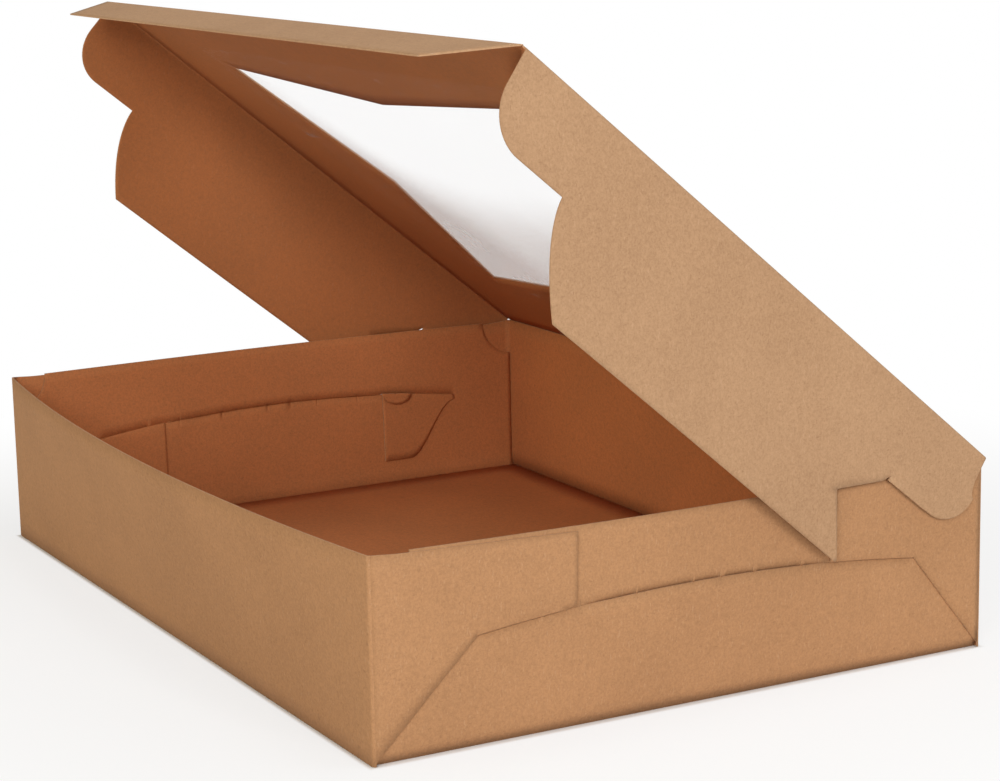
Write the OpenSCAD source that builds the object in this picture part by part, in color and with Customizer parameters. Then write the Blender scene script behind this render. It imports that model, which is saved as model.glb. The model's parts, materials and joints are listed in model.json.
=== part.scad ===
// A low kraft card bakery box with a hinged lid and a clear window, its lid propped open.
// X runs across the box, the front wall faces -Y and the hinge is at the top of the rear wall.
// The origin is at the middle of the underside.

/* [Tray] */
// Width of the tray across its side walls
tray_w = 312.3; // [220:0.1:450]
// Length of the tray from its front wall to its rear wall
tray_l = 219.7; // [190:0.1:320]
// Height of the hinge line above the underside
tray_h = 63.5; // [55:0.1:110]
// Thickness of the card
card_t = 0.5; // [0.3:0.05:0.8]
// Space left between the walls' top edges and the lid
rim_gap = 0.4; // [0.3:0.1:2]
// How far the front wall's top edge bows out at its middle
front_bow = 11; // [0:0.5:16]
// How far each side wall's top edge bows out at its middle
side_bow = 4; // [0:0.5:4]
// Radius of the bite at each top corner of a side wall
corner_bite = 13.4; // [6:0.1:18]

/* [Corner locks] */
// Space between the layers of card at a corner lock
lock_gap = 0.15; // [0.1:0.05:0.4]
// Height of the lock slit at its two ends
slit_h = 33.7; // [28:0.1:40]
// How much higher the slit is at its middle
slit_rise = 5.5; // [0:0.1:8]
// Open width of the slit
slit_w = 1.6; // [1.2:0.1:3]
// Distance from the rear corner to the slit, along the foot
slit_from_rear = 27.5; // [20:0.5:32]
// Distance from the front corner to the slit, along the foot
slit_from_front = 34; // [24:0.5:40]
// Length of the rear tab along the side wall
rear_tab = 61; // [50:0.1:70]
// How far the top of the rear tab's end is drawn in
rear_tab_slant = 1.3; // [0:0.1:6]
// Length of the front tab along the side wall
front_tab = 67; // [55:0.1:75]
// Depth of each tongue inside the wall, below its slit
tongue_depth = 23; // [12:0.5:26]
// How far the front tab's tongue is set back from the tab's end
tongue_step = 4.8; // [2:0.1:8]
// Distance from the end of the slit to the tongue
tongue_clear = 2.4; // [1:0.1:5]
// How much lower a tab's free end is than the wall's top edge
tab_drop = 0.8; // [0:0.1:3]

/* [Lid] */
// Angle of the lid above its closed position, as it is drawn
lid_angle = 39.5; // [36:0.5:43]
// Length of the lid panel from hinge to front crease
lid_l = 220; // [190:0.1:320]
// How far the lid reaches past each side wall at the hinge
lid_overhang = 2.2; // [2:0.1:3]
// How much wider the lid is on each side at its front
lid_flare = 5; // [3:0.1:9]
// Depth of the lid's side flaps
flap_depth = 58.5; // [48:0.1:60]
// Depth of the rounded lobe at the rear of a side flap
lobe_depth = 26.6; // [16:0.1:30]
// Depth of the lobe at the front of a side flap, down to the notch
front_lobe_depth = 27.3; // [16:0.1:32]
// Length of the front lobe along the lid's side crease
front_lobe_l = 34; // [26:0.5:40]
// Distance from the lid's front crease back to the flap's lower front corner
flap_setback = 51; // [46:0.5:70]
// How far the rear lobe reaches behind the hinge
lobe_reach = 4.2; // [2:0.1:6]
// Angle that a side flap splays outward at the front of the lid
flap_splay = 11; // [8:0.5:14]
// Space between the lid and the rear wall along the hinge crease
crease_gap = 0.3; // [0.2:0.1:1]

/* [Front flap] */
// Depth of the lid's front flap
front_flap_d = 22.3; // [14:0.1:30]
// Angle of the front flap below the plane of the lid
front_flap_angle = 47; // [0:1:95]
// How far each end of the front flap tapers in
front_flap_taper = 14.5; // [5:0.5:30]

/* [Window] */
// Half of the window's width at its corners
window_half_w = 108; // [70:0.5:125]
// How far the side edges of the window are pinched in at their middles
window_side_pinch = 22; // [0:0.5:30]
// Distance from the hinge to the window's rear corners
window_rear = 43.4; // [30:0.5:60]
// Distance from the hinge to the window's front corners
window_front = 183.5; // [160:0.5:195]
// How far the front and rear edges are pinched in at their middles
window_end_pinch = 10.5; // [0:0.5:16]
// Width of the glued border of the film around the window
film_border = 12; // [6:0.5:16]
// Thickness of the film
film_t = 0.15; // [0.1:0.05:0.3]

/* [Hidden] */

kraft = [0.77, 0.60, 0.43];
film_clear = [0.90, 0.93, 0.95, 0.35];

half_w = tray_w / 2;
half_l = tray_l / 2;
wall_top = tray_h - card_t - rim_gap;
// Outer face of a layer that lies outside the side wall, and of one that lies inside it
outside = lock_gap + card_t;
inside = -lock_gap - card_t;
slit_start = slit_from_rear;
slit_end = tray_l - slit_from_front;

// One sheet of card: a grid of outer points, a grid of inner points and a table of the cells
// that hold card. Cells that hold none are open, and the card is closed along their edges.
module card(outer, inner, solid) {
    rows = len(outer);
    cols = len(outer[0]);
    inner_start = rows * cols;
    function at(i, j) = i * cols + j;
    function on(i, j) = i >= 0 && i < rows - 1 && j >= 0 && j < cols - 1 && solid[i][j];
    faces = [
        for (i = [0 : rows - 2]) for (j = [0 : cols - 2]) if (on(i, j))
            let (
                a = at(i, j), b = at(i + 1, j), c = at(i + 1, j + 1), d = at(i, j + 1),
                e = inner_start + a, f = inner_start + b, g = inner_start + c, h = inner_start + d
            )
            each concat(
                [[a, b, c], [a, c, d], [e, g, f], [e, h, g]],
                on(i, j - 1) ? [] : [[a, e, f], [a, f, b]],
                on(i, j + 1) ? [] : [[d, c, g], [d, g, h]],
                on(i - 1, j) ? [] : [[a, d, h], [a, h, e]],
                on(i + 1, j) ? [] : [[b, f, g], [b, g, c]]
            )
    ];
    points = concat([for (row = outer) each row], [for (row = inner) each row]);
    polyhedron(points = points, faces = faces, convexity = 8);
}

function steps(from, to, count) = [for (k = [0 : count]) from + (to - from) * k / count];
function ease(p) = let (q = min(1, max(0, p))) q * q * (3 - 2 * q);

// Point of the right side wall: d forward of the rear corner, z high, off outward of its face
function side_point(d, z, off) =
    [half_w + side_bow * sin(180 * d / tray_l) * z / tray_h + off, half_l - d, z];

// Height of the slit's middle line, level past its ends
function slit_z(d) =
    let (p = (2 * d - slit_start - slit_end) / (slit_end - slit_start))
    slit_h + slit_rise * max(0, 1 - p * p);

// Top edge of a side wall, bitten by an arc at each end
function bitten_top(d) =
    let (e = min(d, tray_l - d))
    e < corner_bite ? wall_top - sqrt(corner_bite * corner_bite - e * e) : wall_top;

module side_wall() {
    arc = [for (a = [4 : 14 : 88]) corner_bite * sin(a)];
    stations = concat(
        [2 * card_t],
        [for (e = arc) if (e > 3 * card_t) e],
        [corner_bite],
        steps(slit_start, slit_end, 16),
        [tray_l - corner_bite],
        [for (k = [len(arc) - 1 : -1 : 0]) if (arc[k] > 3 * card_t) tray_l - arc[k]],
        [tray_l - 2 * card_t]
    );
    levels = [for (d = stations) [0, slit_z(d) - slit_w / 2, slit_z(d) + slit_w / 2, bitten_top(d)]];
    open_slit = [
        for (k = [0 : len(stations) - 2])
            let (middle = (stations[k] + stations[k + 1]) / 2)
            middle > slit_start && middle < slit_end
    ];
    card(
        [for (k = [0 : len(stations) - 1]) [for (z = levels[k]) side_point(stations[k], z, 0)]],
        [for (k = [0 : len(stations) - 1]) [for (z = levels[k]) side_point(stations[k], z, -card_t)]],
        [for (open = open_slit) [true, !open, true]]
    );
}

// A tab that wraps round a corner outside the side wall, with a tongue that goes through the
// slit and lies inside. Distances e are measured from the corner, and slant draws in the top
// of the tab's end.
module corner_lock(length, gusset, tongue_length, slant, at_front) {
    tongue_root = gusset + tongue_clear;
    stations = concat(
        steps(0, gusset, 3),
        steps(tongue_root, tongue_length, 7),
        tongue_length < length ? [length] : []
    );
    function along(e) = at_front ? tray_l - e : e;
    function tongue_foot(e) =
        slit_h - 1.5 - tongue_depth * ease((e - tongue_root) / (0.65 * (tongue_length - tongue_root)));
    function heights(e) =
        let (z = slit_z(along(e)))
        [
            e > gusset ? tongue_foot(e) : 0,
            e > gusset ? z - slit_w / 2 : slit_h * e / gusset / 2,
            e > gusset ? z + slit_w / 2 : slit_h * e / gusset,
            wall_top - (e > gusset ? tab_drop * (e - gusset) / (length - gusset) : 0)
        ];
    offsets = [inside, inside, outside, outside];
    function column(e, depth) =
        let (z = heights(e))
        [
            for (j = [0 : 3])
                side_point(along(j == 3 ? e - slant * e / length : e), z[j], offsets[j] - depth)
        ];
    function has_tongue(k) = stations[k] >= tongue_root && stations[k + 1] <= tongue_length;
    last = len(stations) - 1;
    order = at_front ? [last : -1 : 0] : [0 : last];
    cells = at_front ? [last - 1 : -1 : 0] : [0 : last - 1];
    card(
        [for (k = order) column(stations[k], 0)],
        [for (k = order) column(stations[k], card_t)],
        [for (k = cells) [has_tongue(k), has_tongue(k), true]]
    );
}

module front_wall() {
    ends = half_w + outside;
    across = concat([-ends], steps(-half_w, half_w, 20), [ends]);
    function bow(x) = abs(x) < half_w ? front_bow * (1 - pow(x / half_w, 2)) : 0;
    function column(x, depth) =
        [for (z = [0, wall_top]) [x, -half_l - bow(x) * z / tray_h + depth, z]];
    card(
        [for (x = across) column(-x, 0)],
        [for (x = across) column(-x, card_t)],
        [for (k = [0 : len(across) - 2]) [true]]
    );
}

module rear_wall() {
    width = tray_w + 2 * outside;
    translate([-width / 2, half_l - card_t, 0]) cube([width, card_t, wall_top]);
}

module tray() {
    color(kraft) {
        translate([-half_w, -half_l, 0]) cube([tray_w, tray_l, card_t]);
        front_wall();
        rear_wall();
        for (side = [0, 1]) mirror([side, 0, 0]) {
            side_wall();
            corner_lock(rear_tab, slit_from_rear, rear_tab, rear_tab_slant, false);
            corner_lock(front_tab, slit_from_front, front_tab - tongue_step, 0, true);
        }
    }
}

// Puts what is drawn with the lid closed at the lid's angle. There s runs forward from the
// hinge, along -Y, and the lid's outer face is at the height of the hinge.
module on_lid() {
    translate([0, half_l, tray_h]) rotate([-lid_angle, 0, 0]) children();
}

// Inner face of the right side flap: s forward of the hinge, t below the lid. The splay grows
// from nothing at the hinge, by a quarter of a sine.
function flap_x(s, t) =
    half_w + lid_overhang + lid_flare * s / lid_l + t * tan(flap_splay * sin(90 * max(0, s) / lid_l));

// The lower front corner of the flap, from which its front edge curves up to the front lobe,
// and where that lobe starts to turn towards the front crease
flap_widest = lid_l - flap_setback;
front_notch = lid_l - front_lobe_l;
lobe_turn = lid_l - 0.45 * front_lobe_l;
flap_front = lid_l - 1;
// Powers that shape the curve between the corner and the lobe, each the inverse of the other
front_curve = 0.6;
curve_step = 1 / front_curve;

// The opening at the rear of the flap, through which the corner lock shows. It follows the
// tab's outline with the lid at its angle: s and t are a place d forward and z high on the lid.
function lid_s(d, z) = d * cos(lid_angle) + (z - tray_h) * sin(lid_angle);
function lid_t(d, z) = d * sin(lid_angle) - (z - tray_h) * cos(lid_angle);
hook_lead = 0.3;
hook_clear = 1.6;
hook_z = wall_top - tab_drop;
hook_top = lobe_depth + 2 * hook_lead;
hook_start = (hook_top * cos(lid_angle) - (tray_h - hook_z)) / sin(lid_angle);
hook_tip = hook_start + hook_clear;
hook_end = lid_s(rear_tab - rear_tab_slant + hook_clear, hook_z);
hook_t = lid_t(rear_tab - rear_tab_slant + hook_clear, hook_z);
hook_foot = min(flap_depth - 1, lid_t(rear_tab, slit_z(rear_tab)));

// Lower edge of the flap, from the round rear lobe to the round front lobe
function flap_edge(s) =
    s <= lobe_reach * 2 ?
        let (p = (s + lobe_reach) / (3 * lobe_reach))
        lobe_depth * (0.56 + 0.44 * sqrt(max(0, 1 - pow(1 - p, 2)))) :
    s < hook_start ? lobe_depth + (hook_top - lobe_depth) * s / hook_start :
    s <= flap_widest ? flap_depth :
    s <= front_notch ?
        front_lobe_depth + (flap_depth - front_lobe_depth)
            * pow((front_notch - s) / (front_notch - flap_widest), front_curve) :
    s <= lobe_turn ? front_lobe_depth :
    let (p = (s - lobe_turn) / (flap_front - lobe_turn))
    front_lobe_depth * (0.45 + 0.55 * sqrt(max(0, 1 - p * p)));

// Upper edge of the flap: the crease, and behind the hinge the back of the rear lobe
function flap_crease(s) = s >= 0 ? 0 : lobe_depth * 0.5 * sqrt(max(0, 1 - pow(1 + s / lobe_reach, 2)));

module side_flap() {
    stations = concat(
        steps(-lobe_reach, 0, 4),
        [lobe_reach],
        steps(2 * lobe_reach, hook_start - hook_lead, 3),
        [hook_tip, (hook_tip + hook_end) / 2],
        steps(hook_end, flap_widest, 9),
        [for (q = [0.8, 0.6, 0.4, 0.2, 0]) front_notch - (front_notch - flap_widest) * pow(q, curve_step)],
        [(front_notch + lobe_turn) / 2, lobe_turn],
        [for (a = [15 : 15 : 90]) lobe_turn + (flap_front - lobe_turn) * sin(a)]
    );
    // How far the hook opening has closed at s, from 0 at its wide rear end to 1
    function closed(s, start) = min(1, max(0, (s - start) / (hook_end - start)));
    function levels(s) =
        let (edge = flap_edge(s), top = flap_crease(s), share = 0.5 + 0.44 * max(0, s) / hook_start)
        s < hook_start ? [top, top + share * (edge - top), top + (1 + share) / 2 * (edge - top), edge] :
        s > flap_widest ? [top, 0.55 * edge, 0.65 * edge, edge] :
        [
            top,
            hook_top + (hook_t - hook_lead - hook_top) * closed(s, hook_start),
            hook_foot + (hook_t + hook_lead - hook_foot) * closed(s, hook_tip),
            edge
        ];
    function column(s, depth) = [for (t = levels(s)) [flap_x(s, t) + card_t - depth, -s, -t]];
    function column_up(s, depth) = let (c = column(s, depth)) [for (j = [3 : -1 : 0]) c[j]];
    function in_hook(s) = s >= hook_tip && s < hook_end;
    card(
        [for (s = stations) column_up(s, 0)],
        [for (s = stations) column_up(s, card_t)],
        [
            for (k = [0 : len(stations) - 2])
                let (s = stations[k])
                stations[k + 1] == hook_tip ? [false, false, true] :
                in_hook(s) ? [true, false, true] : [true, true, true]
        ]
    );
}

module window_outline(grow) {
    front = window_front + grow;
    rear = window_rear - grow;
    corner = window_half_w + grow;
    middle = (window_front + window_rear) / 2;
    polygon([
        [-corner, -front], [0, -front + window_end_pinch],
        [corner, -front], [corner - window_side_pinch, -middle],
        [corner, -rear], [0, -rear - window_end_pinch],
        [-corner, -rear], [-corner + window_side_pinch, -middle]
    ]);
}

module lid_panel() {
    rear_half = half_w + lid_overhang + card_t;
    front_half = rear_half + lid_flare;
    translate([0, 0, -card_t]) linear_extrude(card_t) difference() {
        polygon([
            [-rear_half, -crease_gap], [rear_half, -crease_gap],
            [front_half, -lid_l], [-front_half, -lid_l]
        ]);
        window_outline(0);
    }
}

module lid() {
    color(kraft) on_lid() {
        lid_panel();
        for (side = [0, 1]) mirror([side, 0, 0]) side_flap();
    }
}

module front_flap() {
    root_half = half_w + lid_overhang + lid_flare;
    // The flap starts past the panel's thickness, so that it folds square without biting it
    root = card_t + crease_gap / 2;
    color(kraft) on_lid()
        translate([0, -lid_l, 0]) rotate([front_flap_angle, 0, 0])
            translate([0, 0, -card_t]) linear_extrude(card_t)
                polygon([
                    [-root_half, -root], [root_half, -root],
                    [root_half - front_flap_taper - lid_flare, -front_flap_d],
                    [-root_half + front_flap_taper + lid_flare, -front_flap_d]
                ]);
}

module window_film() {
    width = 2 * (window_half_w + film_border);
    length = window_front - window_rear + 2 * film_border;
    color(film_clear) on_lid()
        translate([-width / 2, -window_front - film_border, -card_t - film_t])
            cube([width, length, film_t]);
}

tray();
lid();
front_flap();
window_film();
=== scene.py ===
"""Kraft card brownie box: a folded tray with slit-locked corners, and a hinged lid with a clear window."""

import json
import math

import bpy
import numpy as np
from bpy.props import FloatProperty, FloatVectorProperty, PointerProperty
from mathutils import Matrix, Vector


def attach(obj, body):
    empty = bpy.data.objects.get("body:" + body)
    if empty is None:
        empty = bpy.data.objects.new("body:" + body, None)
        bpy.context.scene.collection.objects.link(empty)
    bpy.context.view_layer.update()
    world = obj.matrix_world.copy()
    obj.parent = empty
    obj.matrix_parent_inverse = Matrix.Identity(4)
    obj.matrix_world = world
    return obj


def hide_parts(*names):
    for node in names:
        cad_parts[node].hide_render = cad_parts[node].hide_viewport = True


bl_info = {
    "name": "Brownie Box",
    "version": (1, 0, 0),
    "blender": (4, 5, 0),
    "location": "3D View > Sidebar > Brownie Box",
    "description": "Makes a folded kraft card bakery box with a propped lid and a clear window",
    "category": "Add Mesh",
}

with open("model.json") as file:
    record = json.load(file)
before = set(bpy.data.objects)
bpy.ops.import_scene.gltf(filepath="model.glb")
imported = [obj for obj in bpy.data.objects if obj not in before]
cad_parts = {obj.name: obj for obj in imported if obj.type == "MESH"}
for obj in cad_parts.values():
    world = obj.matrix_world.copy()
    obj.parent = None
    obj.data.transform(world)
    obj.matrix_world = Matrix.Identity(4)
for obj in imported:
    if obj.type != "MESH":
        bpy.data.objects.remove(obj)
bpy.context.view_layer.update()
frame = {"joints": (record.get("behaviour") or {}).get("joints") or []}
joints = {joint["name"]: joint for joint in frame["joints"]}
hinge = np.array(joints["lid_hinge"]["pos_m"])
front_crease = np.array(joints["front_flap_crease"]["pos_m"])

LID_L = float(np.linalg.norm(front_crease - hinge))
LID_ANGLE = math.atan2(front_crease[2] - hinge[2], hinge[1] - front_crease[1])
# Directions on the lid: S runs forward from the hinge, T points below the lid's face
S = np.array([0, -math.cos(LID_ANGLE), math.sin(LID_ANGLE)])
T = np.array([0, -math.sin(LID_ANGLE), -math.cos(LID_ANGLE)])
X = np.array([1.0, 0, 0])
# Radius of the round lip along the lid's hinge crease, and the space between it and the rear wall
LIP, LIP_GAP = 0.0005, 0.00002
# Where the side flaps end, just behind the front crease
FLAP_END = LID_L - 0.001
# Power of the curve from a side flap's lower corner up to its notch
NOTCH_POWER = 0.6
# The kinds of face on a sheet of card, which are also its materials' places
OUTER, CUT, INNER = 0, 1, 2


def length(name, description, default):
    """A size that a user would change, in metres."""
    return FloatProperty(name=name, description=description, default=default, min=0, unit="LENGTH",
                         precision=4)


def angle(name, description, degrees):
    """An angle that a user would change, given in degrees and kept in radians."""
    return FloatProperty(name=name, description=description, default=math.radians(degrees), min=0,
                         subtype="ANGLE")


def colour(name, description, default):
    """A linear colour that a user would change."""
    return FloatVectorProperty(name=name, description=description, default=default, size=3, min=0, max=1,
                               subtype="COLOR")


class BoxSizes(bpy.types.PropertyGroup):
    """Sizes of the folded card"""

    width: length("Width", "Width across the side walls", 0.3123)
    length: length("Length", "Length from the front wall to the hinge", 2 * float(hinge[1]))
    height: length("Height", "Height of the hinge line", float(hinge[2]))
    card: length("Card", "Thickness of the card", 0.0005)
    crease: length("Crease radius", "Outer radius of a folded crease", 0.0011)
    rim: length("Rim", "How far the walls' top edges lie below the hinge line", 0.0009)
    front_bow: length("Front bow", "How far the front wall's top edge bows out", 0.011)
    side_bow: length("Side bow", "How far each side wall's top edge bows out", 0.004)
    bite: length("Corner bite", "Radius of the bite at each top corner of a side wall", 0.0134)


class LockSizes(bpy.types.PropertyGroup):
    """Sizes of the corner locks"""

    gap: length("Lock gap", "Space between two layers of card", 0.00015)
    slit_height: length("Slit height", "Height of the slit at its ends", 0.0337)
    slit_rise: length("Slit rise", "How much higher the slit is at its middle", 0.0055)
    slit_lap: length("Slit lap", "How far the two sides of the slit overlap between the tabs", 0.0006)
    front_gusset: length("Front gusset", "Distance from the front corner to the slit", 0.034)
    rear_gusset: length("Rear gusset", "Distance from the rear corner to the slit", 0.0275)
    front_tab: length("Front tab", "Length of the front tab", 0.067)
    rear_tab: length("Rear tab", "Length of the rear tab", 0.061)
    rear_slant: length("Rear slant", "How far the top of the rear tab's end is drawn in", 0.0013)
    tongue: length("Tongue", "Depth of a tongue inside the wall", 0.023)
    tongue_step: length("Tongue step", "How far the front tongue is set back from the tab's end", 0.0048)


class LidSizes(bpy.types.PropertyGroup):
    """Sizes of the lid and its flaps"""

    overhang: length("Overhang", "How far the lid reaches past a side wall at the hinge", 0.0022)
    flare: length("Flare", "How much wider the lid is on each side at its front", 0.005)
    flap: length("Flap depth", "Depth of a side flap", 0.0585)
    lobe: length("Rear lobe depth", "Depth of a side flap's rear lobe", 0.0266)
    front_lobe_depth: length("Front lobe depth", "Depth of a side flap's front lobe", 0.0273)
    reach: length("Lobe reach", "How far the rear lobe reaches behind the hinge", 0.0042)
    front_lobe: length("Front lobe", "Length of the front lobe", 0.034)
    setback: length("Setback", "Distance from the front crease to the flap's lower corner", 0.051)
    splay: angle("Splay", "Outward angle of a side flap at the lid's front", 11.0)
    hook_clear: length("Hook clearance", "Space in front of the rear tab in the flap's opening", 0.0016)
    front_depth: length("Front flap depth", "Depth of the front flap", 0.0223)
    front_taper: length("Front flap taper", "How far each end of the front flap tapers in", 0.0195)
    front_angle: angle("Front flap angle", "Angle of the front flap below the lid", 47.0)


class WindowSizes(bpy.types.PropertyGroup):
    """Sizes of the window and its film"""

    half_width: length("Half width", "Half of the window's width at its corners", 0.108)
    side_pinch: length("Side pinch", "How far the side edges are pinched in", 0.022)
    rear: length("Rear", "Distance from the hinge to the rear corners", 0.0434)
    front: length("Front", "Distance from the hinge to the front corners", 0.1835)
    end_pinch: length("End pinch", "How far the front and rear edges are pinched in", 0.0105)
    border: length("Film border", "Width of the glued border of the film", 0.012)
    ripple: length("Film ripple", "Height of the film's ripples", 0.0004)


class Finish(bpy.types.PropertyGroup):
    """Colours of the card, the film and the floor. The inner faces and the lid carry painted light and shade
    """

    kraft: colour("Kraft", "Outer face of the tray", (0.475, 0.248, 0.117))
    # The tray's inner face is the same kraft as its outer face. This colour is redder and deeper: painted
    # warm bounce light and shade inside the tray.
    inner: colour("Inner kraft", "Inner face of the tray", (0.585, 0.213, 0.076))
    # The lid is the same card as the tray. Its outer colour is greyer and cooler than the tray's: painted
    # cool light from above on the lid, its side flaps and its front flap.
    lid_cool_lit_kraft: colour("Lid kraft", "Outer face of the lid and its front flap", (0.482, 0.290, 0.160))
    # The lid's inner colour is darker and redder than the tray's outer kraft: painted shade and warm bounce
    # light under the lid and its front flap.
    lid_inner: colour("Lid inner kraft", "Inner face of the lid and its front flap", (0.470, 0.168, 0.057))
    cut_edge: colour("Cut edge", "Cut edges of the card", (0.560, 0.335, 0.188))
    fibre: colour("Fibre", "Dark fibre flecks", (0.200, 0.095, 0.042))
    pale_fibre: colour("Pale fibre", "Pale fibre flecks", (0.700, 0.470, 0.300))
    film: colour("Film", "The clear film", (0.900, 0.905, 0.925))
    floor: colour("Floor", "The floor", (0.930, 0.930, 0.930))


class BoxSettings(bpy.types.PropertyGroup):
    """Everything that a user would change"""

    sizes: PointerProperty(type=BoxSizes)
    locks: PointerProperty(type=LockSizes)
    lid: PointerProperty(type=LidSizes)
    window: PointerProperty(type=WindowSizes)
    finish: PointerProperty(type=Finish)


def settings():
    """The scene's own settings."""
    return bpy.context.scene.brownie_box


def ease(p):
    """Smooth step of p from 0 to 1."""
    q = np.clip(p, 0, 1)
    return q * q * (3 - 2 * q)


def arc(p):
    """A quarter of a circle, which falls from 1 at p = 0 to 0 at p = 1 and stays 0 past it."""
    return np.sqrt(np.clip(1 - p * p, 0, 1))


def spread(*stops):
    """Rising values through the stops, each given as (value, number of steps up to it)."""
    rows = [np.array([stops[0][0]])]
    for (low, _), (high, count) in zip(stops[:-1], stops[1:]):
        rows.append(np.linspace(low, high, count + 1)[1:])
    return np.concatenate(rows)


def grid(x, y, z):
    """A grid of points from three arrays that fit one shape."""
    return np.stack(np.broadcast_arrays(x, y, z), -1)


class Shell:
    """Sheets of card, each as its points, its faces and the kind of each face. Faces point outwards."""

    def __init__(self, *sheets):
        self.sheets = sheets

    def __add__(self, other):
        """The sheets of both."""
        return Shell(*self.sheets, *other.sheets)

    def mirrored(self):
        """The same shell on the other side of X = 0, with its faces turned round."""
        return Shell(*((points * (-1, 1, 1), faces[:, ::-1], kind) for points, faces, kind in self.sheets))

    def piece(self, name, materials):
        """Makes the shell a mesh object, without the points that no face uses."""
        points, faces, kinds = zip(*self.sheets)
        starts = np.cumsum([0] + [len(p) for p in points[:-1]])
        used, faces = np.unique(np.concatenate([f + start for f, start in zip(faces, starts)]),
                                return_inverse=True)
        points, faces, kind = np.concatenate(points)[used], faces.reshape(-1, 4), np.concatenate(kinds)
        mesh = bpy.data.meshes.new(name)
        mesh.vertices.add(len(points))
        mesh.vertices.foreach_set("co", points.astype(np.float32).ravel())
        mesh.loops.add(faces.size)
        mesh.loops.foreach_set("vertex_index", faces.astype(np.int32).ravel())
        mesh.polygons.add(len(faces))
        mesh.polygons.foreach_set("loop_start", np.arange(0, faces.size, 4, dtype=np.int32))
        mesh.update(calc_edges=True)
        for material in materials:
            mesh.materials.append(material)
        if len(materials) > 1:
            mesh.polygons.foreach_set("material_index", kind.astype(np.int32))
        mesh.polygons.foreach_set("use_smooth", kind != CUT)
        mesh.validate()
        piece = bpy.data.objects.new(name, mesh)
        bpy.context.scene.collection.objects.link(piece)
        return piece


def sheet(outer, inner, solid=None):
    """One sheet of card between two grids of points. Solid tells which cells of the grid hold card, and
    without it all do. Each such cell is a quad on both grids, and beside an open cell a quad between the
    grids closes it."""
    rows, cols = outer.shape[:2]
    here = np.ones((rows - 1, cols - 1), bool) if solid is None else solid
    padded = np.pad(here, 1)
    index = np.arange(rows * cols).reshape(rows, cols)
    a, b, c, d = index[:-1, :-1], index[1:, :-1], index[1:, 1:], index[:-1, 1:]
    inside = rows * cols

    def closing(neighbour, first, second):
        """Quads between the grids along the cells' edges that have no card beside them."""
        open_edge = here & ~neighbour
        p, q = first[open_edge], second[open_edge]
        return np.stack([p, q, q + inside, p + inside], -1)

    faces = [
        np.stack([corner[here] for corner in (d, c, b, a)], -1),
        np.stack([corner[here] + inside for corner in (a, b, c, d)], -1),
        closing(padded[1:-1, :-2], a, b),
        closing(padded[1:-1, 2:], c, d),
        closing(padded[:-2, 1:-1], d, a),
        closing(padded[2:, 1:-1], b, c),
    ]
    kind = np.repeat([OUTER, INNER, CUT, CUT, CUT, CUT], [len(f) for f in faces])
    return Shell((np.concatenate([outer.reshape(-1, 3), inner.reshape(-1, 3)]), np.concatenate(faces), kind))


def side_point(d, z, off):
    """Points of the right side wall, d forward of the rear corner, z high and off outward of its face.
    The face leans out in proportion to its height, most at mid length, by a sine."""
    box = settings().sizes
    lean = box.side_bow * np.sin(math.pi * d / box.length) * z / box.height
    return grid(box.width / 2 + lean + off, box.length / 2 - d, z)


def slit_height(d):
    """Height of the slit's middle line: a parabola over the slit, level past its ends."""
    box, lock = settings().sizes, settings().locks
    start, end = lock.rear_gusset, box.length - lock.front_gusset
    p = (2 * d - start - end) / (end - start)
    return lock.slit_height + lock.slit_rise * np.maximum(0, 1 - p * p)


def side_wall():
    """The right side wall. Between the two tabs its lower part swells out by a cube of the height and laps
    over its upper part at the slit. A few narrow nicks bridge the slit. Its top corners are bitten by an
    arc."""
    box, lock = settings().sizes, settings().locks
    top, start, end = box.height - box.rim, lock.rear_gusset, box.length - lock.front_gusset
    # The arc's first point stands clear of the end wall's card
    corner = box.bite * np.sin(np.linspace(0.06, math.pi / 2, 12))
    nicks, half_nick = np.array([0.072, 0.090, 0.102, 0.112, 0.132, 0.151, 0.164]), 0.0003
    d = np.sort(np.concatenate([
        corner, np.linspace(box.bite, start, 6)[1:], np.linspace(start, end, 71)[1:-1],
        nicks - half_nick, nicks + half_nick,
        np.linspace(end, box.length - box.bite, 8), box.length - corner[::-1][1:],
    ]))
    bitten = top - box.bite * arc(np.minimum(d, box.length - d) / box.bite)

    # The swell starts slowly past the tabs, and the lap at once
    swell_depth, slow, quick = 0.0008, 0.012, 0.0015
    past_rear, past_front = d - lock.rear_tab, box.length - lock.front_tab - d
    free = ease(past_rear / slow) * ease(past_front / slow)
    lap = ease(past_rear / quick) * ease((past_front + lock.tongue_step) / quick)
    # Where a tab goes through it, the slit is open by this much below and above its middle line
    below, above = 0.00005, 0.00025
    middle = slit_height(d)
    low_edge = (middle - below + lock.slit_lap / 2 * lap)[:, None]
    high_edge = (middle + above - (above + lock.slit_lap / 2) * lap)[:, None]
    low, high = np.linspace(0, 1, 10), np.linspace(0, 1, 8)
    z = np.concatenate([low_edge * low, high_edge + (bitten[:, None] - high_edge) * high], 1)
    swell = swell_depth * free[:, None] * np.concatenate([low ** 3, 0 * high])
    foot = box.crease * (1 - arc(1 - z / box.crease)) * (z < box.crease)
    outer = side_point(d[:, None], z, swell - foot)
    inner = side_point(d[:, None], z, swell - foot - box.card)
    inner[:, 0, 2] += box.card

    centre = (d[:-1] + d[1:]) / 2
    nicked = (np.abs(centre[:, None] - nicks) < half_nick).any(1)
    solid = np.ones((len(d) - 1, z.shape[1] - 1), bool)
    solid[(centre > start) & (centre < end) & ~nicked, len(low) - 1] = False
    return sheet(outer, inner, solid)


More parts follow.
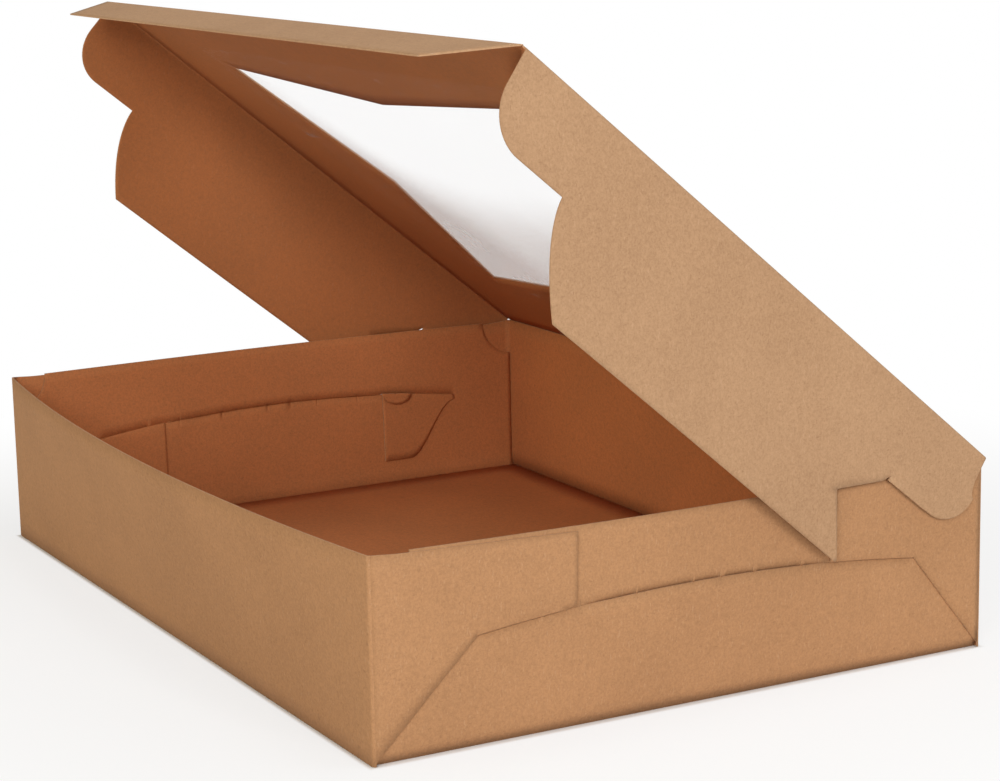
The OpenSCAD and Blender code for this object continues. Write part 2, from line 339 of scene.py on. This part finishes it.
def end_wall(gusset, tab, tongue_end, slant, at_front):
    """The front or rear wall with its two corner tabs, as one sheet carried round the corners along its path.
    e is the distance from the corner along a tab. Up to its gusset a tab is cut on the slant to the foot of
    the corner. Past it the tab goes through the slit, and its tongue lies inside the side wall. The front
    wall's top edge bows out by a parabola, and the rear wall rises to the hinge crease."""
    box, lock = settings().sizes, settings().locks
    half_w, half_l = box.width / 2, box.length / 2
    top = box.height - box.rim
    outside, inside = lock.gap + box.card, -lock.gap - box.card
    # The tongue is cut free a little past the gusset
    root = gusset + 0.0003
    stops = [(box.crease, 0), (gusset, 14), (root, 1), (tongue_end, 26)]
    if tongue_end < tab:
        stops.append((tab, 3))
    e = spread(*stops)[::-1]

    def along(distance):
        """The same place as a distance from the rear corner."""
        return box.length - distance if at_front else distance

    # Rows of the tongue, of the way through the slit and of the tab, each as shares from foot to top
    tongue_rows = np.linspace(0, 1, 9)
    slit_rows, top_rows = (np.linspace(0, 1, count)[1:] for count in (6, 10))
    # The tab passes the slit from just below its middle line to just above. Its tongue starts lower, and
    # reaches its full depth at this share of its length
    below, above, tongue_start, deep = 0.0004, 0.0006, 0.0015, 0.65
    slit = slit_height(along(e))
    dip = ease((e - root) / (deep * (tongue_end - root)))
    foot = (lock.slit_height - tongue_start - lock.tongue * dip)[:, None]
    slit_low = (slit - below)[:, None]
    slit_high = np.where(e > gusset, slit + above, lock.slit_height * e / gusset)[:, None]
    # The rear wall rises to the lip, and past the corner its tabs fall back over a short run. The top edge of
    # every tab falls a little to its end
    rise, back = 1 + (0 if at_front else box.rim - LIP - LIP_GAP) / top, 0.004
    drop = 0.0004 * ease(e / 0.01) + 0.0011 * e / tab if at_front else 0.0010 * ease(e / 0.02)
    rim = (top * (rise + (1 - rise) * ease((e - box.crease) / back)) - drop)[:, None]
    z = np.concatenate([foot + (slit_low - foot) * tongue_rows, slit_low + (slit_high - slit_low) * slit_rows,
                        slit_high + (rim - slit_high) * top_rows], 1)
    cross = np.concatenate([0 * tongue_rows, ease(slit_rows), 1 + 0 * top_rows])
    # The tab's end stands a little off the wall
    stand = 0.0003
    lift = stand * ease((e - gusset) / (tab - gusset))[:, None] * (z > slit_high)
    off = inside + (outside - inside) * cross + lift
    drawn_in = slant * (e / tab)[:, None] * np.concatenate([0 * tongue_rows, 0 * slit_rows, top_rows])
    d = along(e[:, None] - drawn_in)

    # The wall has no rows below the tab's foot, so its lowest rows all lie on the floor
    count_low = len(tongue_rows) + len(slit_rows) - 1
    wall_z = top * np.concatenate([np.zeros(count_low + 1), top_rows])
    sign, bow = (-1, box.front_bow) if at_front else (1, 0.0)
    turn = np.linspace(0, math.pi / 2, 6)[:, None]
    centre_x, centre_y = half_w + outside - box.crease, half_l - box.crease
    across = np.linspace(centre_x, -centre_x, 60)[1:-1, None]
    hang = bow * np.maximum(0, 1 - (across / half_w) ** 2) * wall_z / box.height

    def face(depth):
        """The grid of points at a depth in the card, over the right tab, its corner, the wall and the same on
        the left."""
        radius = box.crease - depth
        corner = grid(centre_x + radius * np.cos(turn), sign * (centre_y + radius * np.sin(turn)),
                      wall_z * rise)
        right = np.concatenate([side_point(d, z, off - depth), corner])
        wall = grid(across, sign * (half_l + hang - depth), wall_z * rise)
        return np.concatenate([right, wall, right[::-1] * (-1, 1, 1)])

    outer, inner = face(0), face(box.card)
    step = (e[:-1] + e[1:]) / 2
    has_tongue = (step > root) & (step < tongue_end)
    solid = np.ones((len(outer) - 1, outer.shape[1] - 1), bool)
    solid[:, :count_low] = False
    solid[:len(step), :count_low] = has_tongue[:, None]
    solid[-len(step):, :count_low] = has_tongue[::-1, None]
    return sheet(outer[::-1], inner[::-1], solid[::-1]) if at_front else sheet(outer, inner, solid)


def floor_sheet():
    """The tray's floor, a flat sheet that stops inside the walls' creases."""
    box = settings().sizes
    x = np.linspace(-1, 1, 25)[:, None] * (box.width / 2 - box.crease)
    y = np.linspace(1, -1, 19) * (box.length / 2 - box.card * 0.8)
    return sheet(grid(x, y, 0.0), grid(x, y, box.card))


def lock_tip():
    """The half-round tip that shows inside each side wall at the slit: a half disc pressed flat on the
    wall."""
    box, lock = settings().sizes, settings().locks
    radius, depth, above, from_end = 0.0066, 0.0045, 0.0006, 0.0059
    a = np.linspace(0, math.pi, 15)[:, None]
    r = np.linspace(0.02, 1, 5)
    d = lock.rear_tab - from_end + radius * r * np.cos(a)
    z = slit_height(d) + above - depth * r * np.sin(a)
    off = -3 * box.card - 2 * lock.gap
    return sheet(side_point(d, z, off)[::-1], side_point(d, z, off - box.card)[::-1])


def tray_shell():
    """Floor, side walls, front and rear walls with their tabs, and the tips, all as one folded card."""
    lock = settings().locks
    right = side_wall() + lock_tip()
    front = end_wall(lock.front_gusset, lock.front_tab, lock.front_tab - lock.tongue_step, 0, True)
    rear = end_wall(lock.rear_gusset, lock.rear_tab, lock.rear_tab, lock.rear_slant, False)
    return floor_sheet() + right + right.mirrored() + front + rear


def on_lid(x, s, t):
    """Points at x across, s forward of the hinge and t below the lid's outer face."""
    x, s, t = np.broadcast_arrays(x, s, t)
    return hinge + x[..., None] * X + s[..., None] * S + t[..., None] * T


def lid_half(s):
    """Half of the lid's width at s, to the outer face of its side flap: it widens evenly to the front."""
    box, lid = settings().sizes, settings().lid
    return box.width / 2 + lid.overhang + box.card + lid.flare * s / LID_L


def flap_marks():
    """Where a side flap's lower corner, its notch and the turn of its front lobe lie along the lid."""
    lid = settings().lid
    # The share of the front lobe that is round
    rounded = 0.45
    return LID_L - lid.setback, LID_L - lid.front_lobe, LID_L - rounded * lid.front_lobe


def flap_edge(s, hook_start, hook_top):
    """Lower edge of a side flap: a round rear lobe, the long straight edge, a power curve from the corner up
    to the notch, and the front lobe, which turns to the front crease by a quarter of an ellipse."""
    lid = settings().lid
    widest, notch, lobe_turn = flap_marks()
    # Depth of each lobe at its end, as a share of its full depth
    rear_end, front_end = 0.56, 0.45
    rear = lid.lobe * (rear_end + (1 - rear_end) * arc(1 - (s + lid.reach) / (3 * lid.reach)))
    hook = lid.lobe + (hook_top - lid.lobe) * s / hook_start
    rise = np.clip((notch - s) / (notch - widest), 0, 1) ** NOTCH_POWER
    curve = lid.front_lobe_depth + (lid.flap - lid.front_lobe_depth) * rise
    turned = np.clip((s - lobe_turn) / (FLAP_END - lobe_turn), 0, 1)
    front = lid.front_lobe_depth * (front_end + (1 - front_end) * arc(turned))
    return np.select([s <= 2 * lid.reach, s < hook_start, s <= widest, s <= notch],
                     [rear, hook, lid.flap + 0 * s, curve], front)


def hook_corners():
    """Where along the lid the upper edge of the opening for the corner lock starts, where its lower edge
    starts at the flap's tip and where they meet in a point, and then the depths of the upper edge's start, of
    the point and of the lower edge's start. It follows the rear tab's outline with the lid at its angle."""
    box, lock, lid = settings().sizes, settings().locks, settings().lid
    cos, sin = math.cos(LID_ANGLE), math.sin(LID_ANGLE)
    # The rear tab's top edge with the room above it, and the flap's lower edge at the opening's start
    tab_top, hook_top = box.rim + 0.0008, lid.lobe + 0.0006
    start = (hook_top * cos - tab_top) / sin
    corner = lock.rear_tab - lock.rear_slant + lid.hook_clear
    end, tip_t = corner * cos - tab_top * sin, corner * sin + tab_top * cos
    # The lower edge starts where the tab meets the slit, but stays inside the flap
    slit, inside = float(slit_height(lock.rear_tab)) - box.height, 0.001
    foot = min(lid.flap - inside, lock.rear_tab * sin - slit * cos)
    return start, start + lid.hook_clear, end, hook_top, tip_t, foot


def flap_columns(start, tip, end):
    """Places of a side flap's columns along the lid, closest together where its lower edge is round."""
    lid = settings().lid
    widest, notch, lobe_turn = flap_marks()
    rear = -lid.reach + 3 * lid.reach * (1 - np.cos(np.linspace(0, math.pi / 2, 16)))
    return np.concatenate([
        np.sort(np.append(rear, 0)), np.linspace(rear[-1], start, 7)[1:], np.linspace(tip, end, 9),
        np.linspace(end, widest, 34)[1:],
        notch - (notch - widest) * np.linspace(1, 0, 18)[1:] ** (1 / NOTCH_POWER),
        np.linspace(notch, lobe_turn, 7)[1:],
        lobe_turn + (FLAP_END - lobe_turn) * np.sin(np.linspace(0, math.pi / 2, 18))[1:],
    ])


def side_flap():
    """The right side flap: a sheet that turns down from the lid at a round crease, then runs straight down,
    splayed outward by an angle that grows from the hinge as a quarter of a sine. Its opening tapers to a
    point. Behind the hinge its upper edge is a quarter of an ellipse."""
    box, lid = settings().sizes, settings().lid
    start, tip, end, hook_top, tip_t, foot = hook_corners()
    widest = flap_marks()[0]
    # Half of the opening's height at its point, and how far the open columns begin before its start
    lead = 0.0003
    s = flap_columns(start - lead, tip, end)
    edge = flap_edge(s, start, hook_top)
    crease = np.where(s >= 0, 0, lid.lobe * 0.5 * arc(1 + s / lid.reach))

    # Upper and lower edge of the opening. Where there is none, two lines between the crease and the edge
    before, after = s < start, s > widest
    share = 0.5 + 0.44 * np.clip(s / start, 0, 1)
    upper_hook = hook_top + (tip_t - lead - hook_top) * np.clip((s - start) / (end - start), 0, 1)
    lower_hook = foot + (tip_t + lead - foot) * np.clip((s - tip) / (end - tip), 0, 1)
    upper = np.select([before, after], [crease + share * (edge - crease), 0.55 * edge], upper_hook)
    lower = np.select([before, after], [crease + (1 + share) / 2 * (edge - crease), 0.65 * edge], lower_hook)
    crease, edge, upper, lower = (line[:, None] for line in (crease, edge, upper, lower))

    turn = np.linspace(0, math.pi / 2, 6)
    rest, hook_rows = np.linspace(0, 1, 10)[1:], np.linspace(0, 1, 4)[1:]
    root = crease + box.crease * (1 - np.cos(turn))
    t = np.concatenate([root, root[:, -1:] + (upper - root[:, -1:]) * rest,
                        upper + (lower - upper) * hook_rows, lower + (edge - lower) * rest], 1)
    tuck = np.zeros(t.shape)
    tuck[s >= 0, :len(turn)] = box.crease * (1 - np.sin(turn))
    splay = lid.splay * np.sin(math.pi / 2 * np.maximum(0, s) / LID_L)
    x = lid_half(s)[:, None] + t * np.tan(splay)[:, None]
    thin = 1 - box.card / box.crease
    inner_t = t.copy()
    inner_t[:, :len(turn)] = crease + box.crease * (1 - thin * np.cos(turn))
    outer = on_lid(x - tuck, s[:, None], t)
    inner = on_lid(x - box.card - tuck * thin, s[:, None], inner_t)

    solid = np.ones((len(s) - 1, t.shape[1] - 1), bool)
    first = len(turn) + len(rest) - 1
    step = (s[:-1] + s[1:]) / 2
    solid[(step > tip) & (step < end), first:first + len(hook_rows)] = False
    solid[(step > start - lead) & (step < tip), first:] = False
    return sheet(outer[:, ::-1], inner[:, ::-1], solid[:, ::-1])


def hinge_lip():
    """The round lip of the lid along its hinge crease, which closes the space above the rear wall."""
    past_wall = 0.0002
    around = np.linspace(0, 2 * math.pi, 13)[:, None]
    x = np.linspace(-1, 1, 41) * (settings().sizes.width / 2 + past_wall)
    return sheet(*(on_lid(x, r * np.cos(around), r * np.sin(around)) for r in (LIP, LIP / 3)))


def ring(corners, count):
    """Points along a closed outline through the corners, count on each side, and the first again at the
    end."""
    corners = np.array(corners)
    after = np.roll(corners, -1, 0)
    share = np.arange(count)[None, :, None] / count
    points = (corners[:, None] + (after - corners)[:, None] * share).reshape(-1, 2)
    return np.vstack([points, points[:1]])


def lid_panel():
    """The lid's flat panel: straight lines carried from the window's pinched outline to the lid's edge."""
    box, window = settings().sizes, settings().window
    c, front, rear, pinch = window.half_width, window.front, window.rear, window.end_pinch
    middle, waist = (front + rear) / 2, window.half_width - window.side_pinch
    opening = [(c, front), (0, front - pinch), (-c, front), (-waist, middle),
               (-c, rear), (0, rear + pinch), (c, rear), (waist, middle)]
    # Half of the panel's width at its front and its rear, and the space between it and the hinge line
    wide, narrow, gap = lid_half(LID_L) - box.crease, lid_half(0) - box.crease, 0.0003
    side = (wide + narrow) / 2
    edge = [(wide, LID_L), (0, LID_L), (-wide, LID_L), (-side, middle),
            (-narrow, gap), (0, gap), (narrow, gap), (side, middle)]
    a, b = ring(opening, 14)[:, None], ring(edge, 14)[:, None]
    flat = a + (b - a) * np.linspace(0, 1, 8)[:, None]
    return sheet(*(on_lid(flat[..., 0], flat[..., 1], depth) for depth in (0.0, box.card)))


def lid_shell():
    """The lid's panel with its hinge lip and its two side flaps."""
    flap = side_flap()
    return lid_panel() + hinge_lip() + flap + flap.mirrored()


def front_flap_shell():
    """The short front flap: it turns down from the lid along a round crease, then runs flat to its tapered
    edge. Its root is cut on the slant inside, so that it clears the lid's panel when it turns."""
    box, lid = settings().sizes, settings().lid
    # Space between the lid and the root, and how far from the lid the root's inner side starts
    gap, inner_start = 0.00015, 0.00064
    turn = np.linspace(0, lid.front_angle, 6)
    run = np.linspace(0, 1, 9)[1:]
    straight = np.concatenate([0 * turn, run])
    bend = np.concatenate([turn, np.full(len(run), lid.front_angle)])
    s = box.crease * np.sin(bend) + lid.front_depth * straight * math.cos(lid.front_angle)
    t = box.crease * (1 - np.cos(bend)) + lid.front_depth * straight * math.sin(lid.front_angle)
    inner_s = np.maximum(s - box.card * np.sin(bend), inner_start - gap)
    inner_t = t + box.card * np.cos(bend)
    x = np.linspace(-1, 1, 61)[:, None] * (lid_half(LID_L) - box.card - lid.front_taper * straight)
    return sheet(on_lid(x, LID_L + gap + s, t), on_lid(x, LID_L + gap + inner_s, inner_t))


def film_shell():
    """The window's film: flat where it is glued, and rippled by two crossing sines inside the window."""
    box, window = settings().sizes, settings().window
    half = window.half_width + window.border
    rear, front = window.rear - window.border, window.front + window.border
    thick, glue = 0.00012, 0.00003
    x = np.linspace(-half, half, 90)[:, None]
    s = np.linspace(rear, front, 60)
    inset = np.minimum(half - np.abs(x), np.minimum(s - rear, front - s))
    # The ripples start past the glued border and grow over a run. Their sines are in radians per metre
    start, run = 1.6 * window.border, 0.03
    free = ease((inset - start) / run)
    wave = np.sin(x * 60 + 1.8 * np.sin(s * 38)) * np.sin(s * 74 + 1.3 * np.sin(x * 31 + 1)) + 1
    drop = box.card + glue + window.ripple * free * wave
    return sheet(on_lid(x, s, drop)[::-1], on_lid(x, s, drop + thick)[::-1])


class Sock:
    """A shader socket, or a number, that Python's operators join with Math nodes."""

    def __init__(self, shader, value):
        self.shader, self.value = shader, value

    def math(self, operation, *others):
        """A Math node of an operation on this value and the others."""
        return self.shader.node("ShaderNodeMath", {"operation": operation}, dict(enumerate((self, *others))))

    def __add__(self, other):
        return self.math("ADD", other)

    def __radd__(self, other):
        return self.math("ADD", other)

    def __sub__(self, other):
        return self.math("SUBTRACT", other)

    def __rsub__(self, other):
        return Sock(self.shader, other).math("SUBTRACT", self)

    def __mul__(self, other):
        return self.math("MULTIPLY", other)

    def __rmul__(self, other):
        return self.math("MULTIPLY", other)

    def between(self, low, high):
        """A smooth step from 0 where the value is low to 1 where it is high."""
        return self.shader.node("ShaderNodeMapRange", {"interpolation_type": "SMOOTHSTEP"},
                                {"Value": self, "From Min": low, "From Max": high})


class Shader:
    """The nodes of one material or world, which is cleared first."""

    def __init__(self, owner):
        self.owner = owner
        owner.use_nodes = True
        self.tree = owner.node_tree
        self.tree.nodes.clear()

    def node(self, kind, options=None, sockets=None, output=0):
        """A node of a kind, with its settings first and then the values or links of its sockets."""
        made = self.tree.nodes.new(kind)
        for key, value in (options or {}).items():
            setattr(made, key, value)
        for key, value in (sockets or {}).items():
            value = value.value if isinstance(value, Sock) else value
            if isinstance(value, bpy.types.NodeSocket):
                self.tree.links.new(value, made.inputs[key])
            else:
                made.inputs[key].default_value = value
        return Sock(self, made.outputs[output] if made.outputs else None)

    def mix(self, factor, first, second):
        """Two colours mixed by a factor."""
        return self.node("ShaderNodeMix", {"data_type": "RGBA"}, {0: factor, 6: first, 7: second}, output=2)

    def point(self):
        """Object coordinates."""
        return self.node("ShaderNodeTexCoord", output="Object")

    def place(self, scale=(1, 1, 1), turn=(0, 0, 0)):
        """Object coordinates, turned and scaled."""
        return self.node("ShaderNodeMapping", {}, {"Vector": self.point(), "Rotation": turn, "Scale": scale})

    def dot(self, point, axis):
        """How far a point lies along an axis."""
        return self.node("ShaderNodeVectorMath", {"operation": "DOT_PRODUCT"}, {0: point, 1: tuple(axis)},
                         output="Value")

    def noise(self, at, scale, detail=2.0, roughness=0.5):
        """Noise at a scale, in waves per metre."""
        return self.node("ShaderNodeTexNoise", {}, {"Vector": at, "Scale": scale, "Detail": detail,
                                                    "Roughness": roughness})

    def bump(self, strength, distance, height):
        """The normal of a surface with small bumps."""
        return self.node("ShaderNodeBump", {}, {"Strength": strength, "Distance": distance, "Height": height})

    def seen_or_mirrored(self):
        """1 for the rays of the camera, of gloss and through glass, and 0 for those that light the object."""
        camera, glossy, through = (self.node("ShaderNodeLightPath", output="Is " + ray + " Ray")
                                   for ray in ("Camera", "Glossy", "Transmission"))
        return (camera + glossy + through).math("MINIMUM", 1.0)

    def finish(self, surface, output="ShaderNodeOutputMaterial"):
        """Links the surface to the output, and returns the material or world."""
        self.node(output, {}, {"Surface": surface})
        return self.owner


def rgba(values):
    """A colour property with full alpha."""
    return (*values, 1.0)


def kraft_card(name, base, paleness=0.14):
    """Uncoated kraft card: soft clouds, a fine grain and short dark and pale fibres, all on a matt face."""
    finish = settings().finish
    shader = Shader(bpy.data.materials.new(name))
    at = shader.place()
    clouds = shader.noise(at, 22, 3.0, 0.55).between(0.34, 0.68)
    mottle = shader.noise(at, 520, 3.0, 0.6).between(0.36, 0.66)
    grain = shader.noise(at, 1250, 3.0, 0.75).between(0.36, 0.66)
    along = shader.noise(shader.place((1, 0.3, 1), (0.3, 0.2, 0.5)), 1900, 1.0).between(0.64, 0.76)
    across = shader.noise(shader.place((0.3, 1, 0.3), (0.1, 0.4, 0.9)), 2100, 1.0).between(0.64, 0.76)
    pale = shader.noise(shader.place((1, 1, 0.3), (0.5, 0.1, 0.3)), 1700, 1.0).between(0.62, 0.76)
    dark = (along + across).math("MINIMUM", 1.0)
    shade = clouds * 0.11 + mottle * 0.09 + grain * 0.23 + dark * 0.17
    face = shader.mix(shade, rgba(base), rgba(finish.fibre))
    face = shader.mix(pale * paleness, face, rgba(finish.pale_fibre))
    return shader.finish(shader.node("ShaderNodeBsdfPrincipled", {}, {
        "Base Color": face, "Roughness": 0.90 - grain * 0.10, "Specular IOR Level": 0.25,
        "Normal": shader.bump(0.20, 0.0001, mottle * 0.4 + grain * 0.6)}))


def card_materials(name, outer, inner):
    """The materials of a folded card piece, in the order of OUTER, CUT and INNER."""
    cut = settings().finish.cut_edge
    return [kraft_card(name + "_outer", outer), kraft_card(name + "_cut_edge", cut),
            kraft_card(name + "_inner", inner, 0.05)]


def window_mask(along, across):
    """1 inside the window and 0 on its glued border, from the straight edges of its pinched outline. A point
    lies along from the hinge and across from the lid's middle line."""
    window = settings().window
    middle, half, blur = (window.front + window.rear) / 2, (window.front - window.rear) / 2, 0.0006
    from_middle, from_centre = (along - middle).math("ABSOLUTE"), across.math("ABSOLUTE")
    side = from_middle * (window.side_pinch / half) + (window.half_width - window.side_pinch) - from_centre
    end = from_centre * (window.end_pinch / window.half_width) + (half - window.end_pinch) - from_middle
    return side.math("MINIMUM", end).between(-blur, blur)


def clear_film():
    """Thin clear film: almost invisible, with a faint even milkiness, a painted soft sheen of reflection that
    thickens to the hinge and one side, and fine painted glints on its glued border."""
    finish, window = settings().finish, settings().window
    shader = Shader(bpy.data.materials.new("clear_film"))
    at = shader.place()
    along, across = shader.dot(at, S) - float(hinge @ S), shader.dot(at, X)
    inside = window_mask(along, across)
    waves = shader.noise(shader.place((1, 0.45, 0.45), (0, 0, 0.5)), 11, 1.0, 0.4)
    painted_glints = shader.noise(shader.place((0.35, 1, 1), (0, 0, 0.7)), 110, 2.0, 0.6).between(0.62, 0.76)
    behind = along.between(window.front, window.rear)
    beside = across.between(-0.2 * window.half_width, -window.half_width)
    painted_sheen = (behind + beside * 0.55 + waves * 0.9).between(0.80, 1.55)
    # Opacity of the film: a faint even milkiness, plus painted sheen towards the hinge and one side and
    # painted glints on the glued border, which stand in for reflections on the film
    haze_and_sheen = inside * (painted_sheen * 0.38 + 0.03) + (1 - inside) * painted_glints * 0.12 + 0.01
    shader.owner.surface_render_method = "BLENDED"
    return shader.finish(shader.node("ShaderNodeBsdfPrincipled", {}, {
        "Base Color": rgba(finish.film), "Roughness": 0.12, "IOR": 1.49, "Alpha": haze_and_sheen,
        "Normal": shader.bump(0.25, 0.0006, shader.noise(at, 55, 2.0))}))


def white_floor():
    """Pale floor that keeps the object's shadow near by, most of all right beside it, and fades to plain
    white."""
    finish, box = settings().finish, settings().sizes
    shader = Shader(bpy.data.materials.new("pale_floor"))
    point = shader.point()
    reach = shader.node("ShaderNodeVectorMath", {"operation": "LENGTH"}, {0: point}, output="Value")
    across, along = (shader.dot(point, axis).math("ABSOLUTE") for axis in ((1, 0, 0), (0, 1, 0)))
    beside = (across - box.width / 2).math("MAXIMUM", along - box.length / 2)
    share = (reach.between(0.20, 0.38) * 0.29 + 0.71) * beside.between(0.0002, 0.0020)
    diffuse = shader.node("ShaderNodeBsdfDiffuse", {}, {"Color": rgba(finish.floor)})
    white = shader.node("ShaderNodeEmission", {}, {"Strength": 1.0})
    return shader.finish(shader.node("ShaderNodeMixShader", {}, {
        0: shader.seen_or_mirrored() * share, 1: diffuse, 2: white}))


class BoxOperator:
    """What the operators of the pieces share."""

    bl_options = {"REGISTER", "UNDO"}

    def dress(self, shell, name, body, node, slot_name, materials):
        """Makes a piece that rides on a body and stands for a CAD node, with the given materials. The slot
        name is not used.
        """
        piece = shell.piece(name, materials)
        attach(piece, body)
        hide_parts(node)
        return {"FINISHED"}


class BOX_OT_tray(BoxOperator, bpy.types.Operator):
    """Make the folded tray with its corner locks"""

    bl_idname = "brownie_box.tray"
    bl_label = "Tray"

    def execute(self, context):
        finish = settings().finish
        materials = card_materials("tray", finish.kraft, finish.inner)
        return self.dress(tray_shell(), "tray_card", "tray", "tray", "kraft_card", materials)


class BOX_OT_lid(BoxOperator, bpy.types.Operator):
    """Make the lid's panel and side flaps"""

    bl_idname = "brownie_box.lid"
    bl_label = "Lid"

    def execute(self, context):
        finish = settings().finish
        materials = card_materials("lid", finish.lid_cool_lit_kraft, finish.lid_inner)
        return self.dress(lid_shell(), "lid_card", "lid", "lid", "kraft_card", materials)


class BOX_OT_front_flap(BoxOperator, bpy.types.Operator):
    """Make the lid's front flap"""

    bl_idname = "brownie_box.front_flap"
    bl_label = "Front Flap"

    def execute(self, context):
        finish = settings().finish
        materials = card_materials("front_flap", finish.lid_cool_lit_kraft, finish.lid_inner)
        return self.dress(front_flap_shell(), "front_flap_card", "front_flap", "front_flap", "kraft_card",
                          materials)


class BOX_OT_window(BoxOperator, bpy.types.Operator):
    """Make the window's clear film"""

    bl_idname = "brownie_box.window"
    bl_label = "Window Film"

    def execute(self, context):
        return self.dress(film_shell(), "clear_window", "lid", "window_film", "clear_film", [clear_film()])


class BOX_OT_stage(bpy.types.Operator):
    """Make the floor, the lights and the camera"""

    bl_idname = "brownie_box.stage"
    bl_label = "Stage"
    bl_options = {"REGISTER", "UNDO"}

    def floor(self):
        """A flat square just below the box."""
        half, z = 6.0, -0.0002
        mesh = bpy.data.meshes.new("floor")
        corners = [(-half, -half, z), (half, -half, z), (half, half, z), (-half, half, z)]
        mesh.from_pydata(corners, [], [(0, 1, 2, 3)])
        mesh.materials.append(white_floor())
        floor = bpy.data.objects.new("floor", mesh)
        bpy.context.scene.collection.objects.link(floor)

    def lamp(self, name, place, energy, size, tint):
        """An area lamp at a place, aimed at the middle of the box."""
        data = bpy.data.lights.new(name, "AREA")
        data.energy, data.size, data.color = energy, size, tint
        lamp = bpy.data.objects.new(name, data)
        aim = Vector((0, 0, 0.06)) - Vector(place)
        lamp.matrix_world = Matrix.Translation(place) @ aim.to_track_quat("-Z", "Y").to_matrix().to_4x4()
        bpy.context.scene.collection.objects.link(lamp)

    def camera(self):
        """The photograph's camera, from its azimuth, elevation and roll."""
        azimuth, elevation, roll = (math.radians(a) for a in (61.445, 11.474, -1.150))
        place, lens = (0.7962, -0.4141, 0.2530), 93.48
        back = Vector((math.sin(azimuth) * math.cos(elevation), -math.cos(azimuth) * math.cos(elevation),
                       math.sin(elevation)))
        right = (-back).cross(Vector((0, 0, 1))).normalized()
        up = right.cross(-back)
        turned = right * math.cos(roll) + up * math.sin(roll)
        upright = up * math.cos(roll) - right * math.sin(roll)
        data = bpy.data.cameras.new("camera")
        data.sensor_width, data.lens = 36.0, lens
        camera = bpy.data.objects.new("camera", data)
        basis = Matrix((turned, upright, back)).transposed().to_4x4()
        camera.matrix_world = Matrix.Translation(place) @ basis
        bpy.context.scene.collection.objects.link(camera)
        bpy.context.scene.camera = camera

    def world(self):
        """A white world that lights the box softly, and is plain white to the camera, glass and gloss."""
        soft, tint = 0.31, (1.0, 0.985, 0.965, 1.0)
        shader = Shader(bpy.data.worlds.new("studio"))
        strength = shader.seen_or_mirrored() * (1 - soft) + soft
        background = shader.node("ShaderNodeBackground", {}, {"Color": tint, "Strength": strength})
        bpy.context.scene.world = shader.finish(background, "ShaderNodeOutputWorld")

    def execute(self, context):
        self.floor()
        self.lamp("key", (2.1, 0.10, 0.80), 17, 0.8, (1.0, 1.0, 1.0))
        self.lamp("front_right", (1.75, -1.55, 1.05), 24, 0.9, (1.0, 0.98, 0.93))
        self.lamp("front_left", (-0.6, -2.1, 0.8), 6.6, 1.0, (1.0, 0.86, 0.40))
        self.lamp("top", (0.3, 0.6, 2.2), 14, 1.2, (1.0, 1.0, 1.0))
        self.camera()
        self.world()
        bpy.context.scene.view_settings.view_transform = "Standard"
        return {"FINISHED"}


class BOX_PT_panel(bpy.types.Panel):
    """The box's pieces and settings in the sidebar"""

    bl_label = "Brownie Box"
    bl_idname = "BOX_PT_panel"
    bl_space_type = "VIEW_3D"
    bl_region_type = "UI"
    bl_category = "Brownie Box"

    def draw(self, context):
        layout = self.layout
        for operator in OPERATORS:
            layout.operator(operator.bl_idname)
        for group in ("sizes", "locks", "lid", "window", "finish"):
            values = getattr(context.scene.brownie_box, group)
            section = layout.box()
            section.label(text=group.title())
            for key in values.__annotations__:
                section.prop(values, key)


OPERATORS = (BOX_OT_tray, BOX_OT_lid, BOX_OT_front_flap, BOX_OT_window, BOX_OT_stage)
CLASSES = (BoxSizes, LockSizes, LidSizes, WindowSizes, Finish, BoxSettings, *OPERATORS, BOX_PT_panel)


def register():
    """Registers the classes and gives each scene its settings."""
    for cls in CLASSES:
        bpy.utils.register_class(cls)
    bpy.types.Scene.brownie_box = PointerProperty(type=BoxSettings)


def unregister():
    """Takes the settings and the classes away again."""
    del bpy.types.Scene.brownie_box
    for cls in reversed(CLASSES):
        bpy.utils.unregister_class(cls)


def main():
    """Makes every piece and the stage."""
    register()
    bpy.ops.brownie_box.tray()
    bpy.ops.brownie_box.lid()
    bpy.ops.brownie_box.front_flap()
    bpy.ops.brownie_box.window()
    bpy.ops.brownie_box.stage()


if __name__ == "__main__":
    main()
